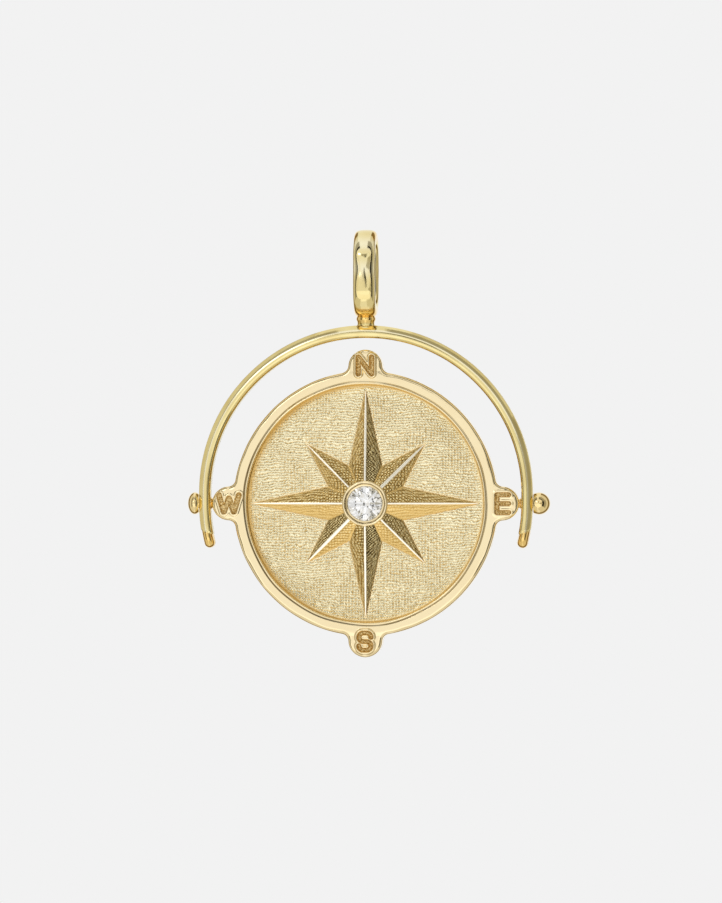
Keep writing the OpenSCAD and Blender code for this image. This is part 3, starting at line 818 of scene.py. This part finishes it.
# %% [markdown]
# ## The neck
# The bail stands on a short waisted neck. A small fillet of solder joins it to the top of the arch,
# filed to the arch's depth. Both ends run on into the pieces that they join.

# %% Neck
NECK_R, NECK_FLAT, NECK_BEND, NECK_TOP_R, NECK_SINK = 0.61, 0.06, 0.3, 0.5, 0.3
SOLDER_R, SOLDER_EDGE = 0.2, 0.05
FOOT_SQUASH, SQUASH_H, NECK_WARM, WARM_SOFT = 0.24, 0.3, 0.1, 0.2

bm = bmesh.new()
pen = Pencil(bm, 0, -NECK_H - NECK_SINK)
pen.to(NECK_R + SOLDER_R, -NECK_H - NECK_SINK)
pen.to(NECK_R + SOLDER_R, -NECK_H - SOLDER_EDGE)
pen.heading = 180
pen.bend(SOLDER_R, -90, 8)
pen.ahead(NECK_FLAT)
pen.bend(NECK_BEND, -30, 6)
pen.bend(NECK_BEND, 55, 6)
pen.to(NECK_TOP_R, NECK_SINK)
pen.to(0, NECK_SINK)
turn(bm, 72)
swing(bm, -90, "X")
bmesh.ops.translate(bm, verts=bm.verts, vec=(0, BAIL_FOOT, 0))
co = coords(bm)
co[:, 2] *= 1 - FOOT_SQUASH * smooth_step((ARCH_TOP + SQUASH_H - co[:, 1]) / SQUASH_H)
set_coords(bm, co)
# Painted warm shade towards the neck's top.
set_layer(bm, "warm_shade", smooth_step((co[:, 1] - ARCH_TOP - NECK_WARM) / WARM_SOFT))
neck = finish_piece(bm, "hanger_neck", HANGER, 60)

# %% [markdown]
# ## The two pins
# Each pin is turned: a shaft in the lobe's seat, a foot that flares towards the arch and a ball
# head close against the arch. The west head was hammered flatter than the east one.

# %% Turned pins
PIN_R, HEAD_R, COLLAR_R = 0.325, 0.79, 0.465
SEAT_END, FLARE_FROM = 10.04, 11.04
ARCH_IN, ARCH_OUT, PLAY = 11.19, 11.99, 0.05


def make_pin(side, head_l, half_l, name):
    """A pin is turned about Z and then laid along east or west."""
    bm = bmesh.new()
    pen = Pencil(bm, 0, SEAT_END)
    pen.to(PIN_R, SEAT_END)
    pen.to(PIN_R, FLARE_FROM)
    pen.to(COLLAR_R, ARCH_IN - PLAY)
    pen.to(PIN_R, ARCH_IN - PLAY)
    start = ARCH_OUT + PLAY
    pen.to(PIN_R, start)
    pen.to(COLLAR_R, start)
    shaft = set(bm.verts)
    centre = (head_l - half_l) / half_l
    lead = math.acos(centre)
    head = Pencil(bm, HEAD_R * math.sin(lead), -HEAD_R * centre, math.degrees(lead))
    first = head.tip
    head.bend(HEAD_R, 180 - math.degrees(lead), 40)
    for vert in bm.verts:
        if vert not in shaft:
            vert.co = (max(vert.co.x, 0), 0, start + head_l - half_l + vert.co.z * half_l / HEAD_R)
    bmesh.ops.contextual_create(bm, geom=[pen.tip, first])
    turn(bm, 72)
    swing(bm, 90 * side, "Y")
    return finish_piece(bm, name + "_turned", ("medallion_body", name, "pin_gold"), 40)


west_pin = make_pin(-1, 0.8, 0.5, "west_pin")
east_pin = make_pin(1, 1.18, 0.79, "east_pin")

# %% [markdown]
# ## Gold
# All the metal is one alloy with different finishes. Each finish is a metallic surface whose colour
# and gloss drift slightly with noise, as polished gold does. Where a piece keeps a number for each
# point, the finish reads it, and so a tint follows the shape. This class holds what they all need.

# %% A finish with noise in its colour and gloss
class Finish:
    """A node material built around one Principled surface."""

    def __init__(self, name, metallic=1.0):
        self.material = bpy.data.materials.new(name)
        self.material.use_nodes = True
        self.nodes = self.material.node_tree.nodes
        self.links = self.material.node_tree.links
        self.surface = self.nodes["Principled BSDF"]
        self.surface.inputs["Metallic"].default_value = metallic
        self.where = self.nodes.new("ShaderNodeTexCoord").outputs["Object"]

    def node(self, kind, values=(), links=(), **settings):
        made = self.nodes.new(kind)
        for key, value in settings.items():
            setattr(made, key, value)
        for socket, value in dict(values).items():
            made.inputs[socket].default_value = value
        for socket, source in dict(links).items():
            self.links.new(source, made.inputs[socket])
        return made

    def noise(self, size_mm, detail=2.0, stretch=(1, 1, 1)):
        """Noise of a size in millimetres, from 0 to 1."""
        scaled = self.node(
            "ShaderNodeMapping", {"Scale": tuple(s / (size_mm * MM) for s in stretch)},
            {"Vector": self.where})
        made = self.node(
            "ShaderNodeTexNoise", {"Scale": 1.0, "Detail": detail},
            {"Vector": scaled.outputs["Vector"]})
        return made.outputs["Fac"]

    def attribute(self, name):
        return self.node("ShaderNodeAttribute", attribute_name=name).outputs["Fac"]

    def mix(self, share, first, second):
        """Mixes two colours, each a tuple or a socket, by a socket."""
        made = self.node("ShaderNodeMix", data_type="RGBA")
        self.links.new(share, made.inputs["Factor"])
        for socket, colour in ((made.inputs[6], first), (made.inputs[7], second)):
            if isinstance(colour, tuple):
                socket.default_value = (*colour, 1)
            else:
                self.links.new(colour, socket)
        return made.outputs[2]

    def span(self, value, low_in, high_in, low_out, high_out):
        made = self.node(
            "ShaderNodeMapRange",
            {"From Min": low_in, "From Max": high_in, "To Min": low_out, "To Max": high_out},
            {"Value": value})
        return made.outputs["Result"]

    def math(self, operation, first, second):
        made = self.node("ShaderNodeMath", operation=operation)
        for socket, value in zip(made.inputs, (first, second)):
            if isinstance(value, (int, float)):
                socket.default_value = value
            else:
                self.links.new(value, socket)
        return made.outputs["Value"]

    def set(self, socket, source):
        self.links.new(source, self.surface.inputs[socket])

    def bump(self, height, depth_mm, share=1.0):
        made = self.node(
            "ShaderNodeBump", {"Strength": share, "Distance": depth_mm * MM}, {"Height": height})
        self.links.new(made.outputs["Normal"], self.surface.inputs["Normal"])

    def onto(self, *pieces):
        for piece in pieces:
            piece.data.materials.clear()
            piece.data.materials.append(self.material)


# %% [markdown]
# Rim and bezel are a polished casting, with grainy letter floors and grooves deepened by painted
# shade.

# %% Colours, and the polished casting
CASTING, CASTING_DEEP = (0.97, 0.82, 0.52), (0.95, 0.79, 0.49)
LETTER_SHADED_GOLD, LETTER_LIGHT = (0.44, 0.26, 0.06), (0.98, 0.78, 0.42)
GROOVE_SHADE = (0.10, 0.08, 0.05)
WIRE, WIRE_DEEP, EDGE_HIGHLIGHT = (0.87, 0.75, 0.38), (0.79, 0.65, 0.30), (1.0, 0.94, 0.70)
WARM_SHADE = (0.90, 0.64, 0.24)
PIN, PIN_DEEP = (0.95, 0.80, 0.46), (0.88, 0.66, 0.30)
MATT, MATT_HIGHLIGHT, MATT_CROSSED_SHADE = (0.90, 0.62, 0.23), (1.0, 0.87, 0.50), (0.46, 0.31, 0.10)
MATT_HOLLOW_SHADE, MATT_CROSSED_HOLLOW_SHADE = (0.42, 0.25, 0.06), (0.06, 0.035, 0.01)
HOLLOW_SHADE, HOLLOW_SHADE_LIGHT, THREAD_HIGHLIGHT = (0.52, 0.34, 0.11), (0.72, 0.51, 0.22), (1.0, 0.93, 0.66)
BORDER_SHADE = (0.66, 0.43, 0.14)
RIDGE_HIGHLIGHT = (1.0, 0.96, 0.84)

polished = Finish("polished_casting")
colour = polished.mix(
    polished.span(polished.noise(3.2, 3.0), 0.35, 0.65, 0, 1), CASTING, CASTING_DEEP)
floor = polished.attribute("letter_floor")
floor_grain = polished.span(polished.noise(0.12, 3.0), 0.35, 0.7, 0, 1)
# The letter floors' grain is real; their deep gold is painted shade.
floor_grain_and_shade = polished.mix(floor_grain, LETTER_SHADED_GOLD, LETTER_LIGHT)
lettered = polished.mix(floor, colour, floor_grain_and_shade)
polished.set("Base Color", polished.mix(polished.attribute("groove"), lettered, GROOVE_SHADE))
gloss = polished.span(polished.noise(0.5, 4.0), 0.3, 0.7, 0.06, 0.13)
polished.set("Roughness", polished.math("MAXIMUM", gloss, polished.math("MULTIPLY", floor, 0.42)))
pits = polished.math("MULTIPLY", polished.noise(0.07, 3.0), polished.math("ADD", floor, 0.035))
polished.bump(pits, 0.05)
polished.onto(rim, bezel)

# %% [markdown]
# Painted shade makes the field's hollows and borders warmer than its threads, which carry a painted
# highlight. The star's ridges are polished and painted nearly white as a highlight, the tops of its
# hatching are painted paler as a highlight, and painted shade makes the hollows of its hatching deep
# gold, or almost black where it is crossed.

# %% Finish of the field and of the star
milled = Finish("milled_field")
relief, border_shade = milled.attribute("relief"), milled.attribute("border_shade")
# Painted shade in the hollows, a painted highlight on the threads.
hollow_shade_tint = milled.mix(milled.noise(0.9, 3.0), HOLLOW_SHADE, HOLLOW_SHADE_LIGHT)
relief_shade_and_highlight = milled.mix(milled.span(relief, 0.0, 0.42, 0, 1), hollow_shade_tint, THREAD_HIGHLIGHT)
milled.set("Base Color", milled.mix(border_shade, relief_shade_and_highlight, BORDER_SHADE))
milled.set("Roughness", milled.span(border_shade, 0, 1, 0.24, 0.32))
milled.bump(milled.noise(0.06, 2.0), 0.008, 0.6)
milled.onto(*fields)

filed_gold = Finish("filed_star")
ridge, relief = filed_gold.attribute("ridge"), filed_gold.attribute("relief")
# Painted shade: the hatching's hollows are deep gold, and almost black where crossed; its tops get a
# painted highlight.
hollow_shade_tint = filed_gold.mix(filed_gold.attribute("crossed"), MATT_HOLLOW_SHADE, MATT_CROSSED_HOLLOW_SHADE)
middle_tint = filed_gold.mix(filed_gold.attribute("crossed"), MATT, MATT_CROSSED_SHADE)
low_tint = filed_gold.mix(filed_gold.span(relief, 0.24, 0.5, 0, 1), hollow_shade_tint, middle_tint)
tint = filed_gold.mix(filed_gold.span(relief, 0.5, 0.8, 0, 1), low_tint, MATT_HIGHLIGHT)
filed_gold.set("Base Color", filed_gold.mix(ridge, tint, RIDGE_HIGHLIGHT))
filed_gold.set("Roughness", filed_gold.span(ridge, 0, 1, 0.19, 0.1))
flank_only = filed_gold.math("SUBTRACT", 1.0, ridge)
filed_gold.bump(filed_gold.math("MULTIPLY", filed_gold.noise(0.07, 2.0), flank_only), 0.02)
filed_gold.onto(star)

# %% [markdown]
# The hanger's gold is greener. A painted warm shade lies at the arch's tips, the bail's foot and
# upper corners and the neck's top, and painted highlights lie along the arch's edges and on the
# bail's ovals.

# %% Finish of the hanger and the pins
drawn = Finish("drawn_wire")
wire_colour = drawn.mix(drawn.span(drawn.noise(1.8, 3.0), 0.35, 0.65, 0, 1), WIRE, WIRE_DEEP)
wire_colour = drawn.mix(drawn.attribute("painted_highlight"), wire_colour, EDGE_HIGHLIGHT)
drawn.set("Base Color", drawn.mix(drawn.attribute("warm_shade"), wire_colour, WARM_SHADE))
drawn.set("Roughness", drawn.span(drawn.noise(0.4, 4.0), 0.3, 0.7, 0.07, 0.14))
drawn.onto(arch, bail, neck)

turned_gold = Finish("turned_pins")
turned_gold.set("Base Color", turned_gold.mix(turned_gold.noise(0.8, 3.0), PIN, PIN_DEEP))
turned_gold.set("Roughness", turned_gold.span(turned_gold.noise(0.3, 3.0), 0.3, 0.7, 0.06, 0.12))
turned_gold.onto(west_pin, east_pin)

# %% [markdown]
# ## The stone
# The stone is a clear round brilliant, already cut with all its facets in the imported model. It only
# needs its optics: a high index, no colour of its own and edges that stay sharp.

# %% Optics of the stone
clear = Finish("clear_brilliant", metallic=0.0)
clear.surface.inputs["Transmission Weight"].default_value = 1.0
clear.surface.inputs["IOR"].default_value = 2.42
clear.surface.inputs["Roughness"].default_value = 0.0
clear.set("Base Color", clear.mix(clear.noise(0.3), (0.98, 0.985, 1.0), (1.0, 1.0, 1.0)))
stone = frame["nodes"]["center_stone"]
clear.onto(stone)
print("facets of the stone:", len(stone.data.polygons))

# %% [markdown]
# ## The studio
# Polished gold shows whatever stands round it. The backdrop is a plain pale bowl with a floor, and
# a soft white light comes from all sides.

# %% Backdrop and world
AIM = Vector((-0.36, 0, -14.84)) * MM
FLOOR_Z, FLOOR_R, COVE_R, WALL_H, DOME_R = -0.5, 0.7, 0.3, 0.6, 0.6


def glowing(name, red, green, blue):
    """A surface that glows evenly, from white paper down to nearly black card."""
    made = bpy.data.materials.new(name)
    made.use_nodes = True
    nodes, links = made.node_tree.nodes, made.node_tree.links
    nodes.clear()
    glow = nodes.new("ShaderNodeEmission")
    glow.inputs["Color"].default_value = (red, green, blue, 1)
    links.new(glow.outputs[0], nodes.new("ShaderNodeOutputMaterial").inputs["Surface"])
    return made


def stage_piece(bm, name, material, camera=False, others=True):
    mesh = bpy.data.meshes.new(name)
    bm.to_mesh(mesh)
    bm.free()
    mesh.materials.append(material)
    made = bpy.data.objects.new(name, mesh)
    bpy.context.scene.collection.objects.link(made)
    made.visible_camera = camera
    made.visible_diffuse = made.visible_glossy = made.visible_transmission = others
    made.visible_shadow = others
    return made


bm = bmesh.new()
pen = Pencil(bm, 0, FLOOR_Z)
pen.to(FLOOR_R, FLOOR_Z)
pen.bend(COVE_R, 90, 12)
pen.ahead(WALL_H)
pen.bend(DOME_R, 60, 12)
pen.to(0, pen.tip.co.z)
turn(bm, 48)
paper = glowing("pale_paper", 0.888, 0.888, 0.888)
stage_piece(bm, "backdrop_with_floor", paper, camera=True, others=False)

world = bpy.data.worlds.new("white_room")
bpy.context.scene.world = world
world.use_nodes = True
world.node_tree.nodes["Background"].inputs["Color"].default_value = (0.97, 0.97, 0.96, 1)

# %% [markdown]
# Rings of cream, tan and umber card round the line of sight draw the soft bands on the wire. Black
# cards with grey ends, at the sides and over the top, shade the star's flanks, and a small flag near
# the line of sight draws the dark spots on the bail.

# %% Cards round the line of sight
NEAR, FAR = 0.16, 0.3


def curved_card(name, near_deg, far_deg, start_deg, sweep_deg, distance, material):
    """A card bent round the line of sight. It starts at so many degrees clockwise from the top."""
    bm = bmesh.new()
    near = math.radians(near_deg)
    pen = Pencil(bm, distance * math.sin(near), distance * math.cos(near), -near_deg)
    pen.bend(distance, near_deg - far_deg, 10)
    turn(bm, 40, deg=-sweep_deg)
    place = (Matrix.Translation(AIM) @ Matrix.Rotation(math.radians(90), 4, "X")
             @ Matrix.Rotation(math.radians(90 - start_deg), 4, "Z"))
    bmesh.ops.transform(bm, matrix=place, verts=bm.verts)
    return stage_piece(bm, name, material)


black = glowing("black_card", 0.03, 0.028, 0.022)
umber = glowing("umber_card", 0.26, 0.19, 0.09)
grey = glowing("grey_card", 0.4, 0.38, 0.32)
tan = glowing("tan_card", 0.76, 0.73, 0.64)
cream = glowing("cream_card", 0.92, 0.89, 0.82)
shadow = glowing("shaded_side", 0.5, 0.47, 0.38)
# name, near and far edge, start, sweep, distance, paper
CARDS = [
    ("card_top_left", 46, 55, -66, 51, NEAR, black),
    ("card_top_left_far", 55, 76, -66, 51, NEAR, grey),
    ("card_top_right", 46, 55, 3, 59, NEAR, black),
    ("card_top_right_far", 55, 76, 3, 59, NEAR, grey),
    ("card_right", 40, 60, 62, 64, NEAR, black),
    ("card_right_far", 60, 84, 62, 64, NEAR, grey),
    ("card_left", 46, 55, 236, 58, NEAR, black),
    ("card_left_far", 55, 76, 236, 58, NEAR, grey),
    ("card_low_right", 42, 76, 126, 54, NEAR, tan),
    ("card_low_left", 42, 76, 194, 42, NEAR, tan),
    ("sheet_right", 10, 38, 70, 38, NEAR, shadow),
    ("flag_top", 6, 13, 340, 30, NEAR, black),
    ("flag_top_far", 13, 22, 330, 44, NEAR, grey),
    ("ring_near", 24, 42, 0, 360, FAR, cream),
    ("ring_middle_right", 76, 108, 12, 160, FAR, tan),
    ("ring_middle_left", 76, 108, 190, 148, FAR, tan),
    ("ring_outer", 108, 140, 12, 326, FAR, umber),
]
for card in CARDS:
    curved_card(*card)

# %% [markdown]
# Two soft lights make the threads sparkle: a small bright one high on the left, and a large faint
# one low in front.

# %% Soft lights
LIGHT_AT = 0.2


def soft_light(name, tilt_deg, clock_deg, distance, width, height, radiance):
    """A soft rectangular light, aimed at the medallion. Its angles are as a card's."""
    data = bpy.data.lights.new(name, "AREA")
    data.shape = "RECTANGLE"
    data.size, data.size_y = width, height
    data.energy = radiance * math.pi * width * height
    made = bpy.data.objects.new(name, data)
    bpy.context.scene.collection.objects.link(made)
    tilt, clock = math.radians(tilt_deg), math.radians(clock_deg)
    out = math.sin(tilt)
    side = Vector((out * math.sin(clock), -math.cos(tilt), out * math.cos(clock)))
    made.location = AIM + side * distance
    made.rotation_euler = side.to_track_quat("Z", "Y").to_euler()
    made.visible_camera = False
    return made


soft_light("light_high_left", 27, 315, LIGHT_AT, 0.05, 0.03, 2.2)
soft_light("light_low_front", 31, 200, LIGHT_AT, 0.24, 0.16, 0.26)

# %% [markdown]
# ## The camera
# The picture was taken from far off with a long lens, a few degrees east of straight on, because
# the bail's far limb shows on its right side. The camera keeps that angle and frame.

# %% Camera at the picture's angle
CAMERA_AZIMUTH, CAMERA_DISTANCE, SENSOR = math.radians(5.0), 0.45, 36
PICTURE_ROWS, MM_A_ROW = 903, 0.0717
FRAME_HEIGHT = PICTURE_ROWS * MM_A_ROW * MM
data = bpy.data.cameras.new("camera")
camera = bpy.data.objects.new("camera", data)
bpy.context.scene.collection.objects.link(camera)
back = Vector((math.sin(CAMERA_AZIMUTH), -math.cos(CAMERA_AZIMUTH), 0))
camera.location = AIM + back * CAMERA_DISTANCE
camera.rotation_euler = back.to_track_quat("Z", "Y").to_euler()
data.lens = SENSOR * CAMERA_DISTANCE / FRAME_HEIGHT
data.clip_start, data.clip_end = 0.02, 5
bpy.context.scene.camera = camera
bpy.context.scene.view_settings.view_transform = "Standard"
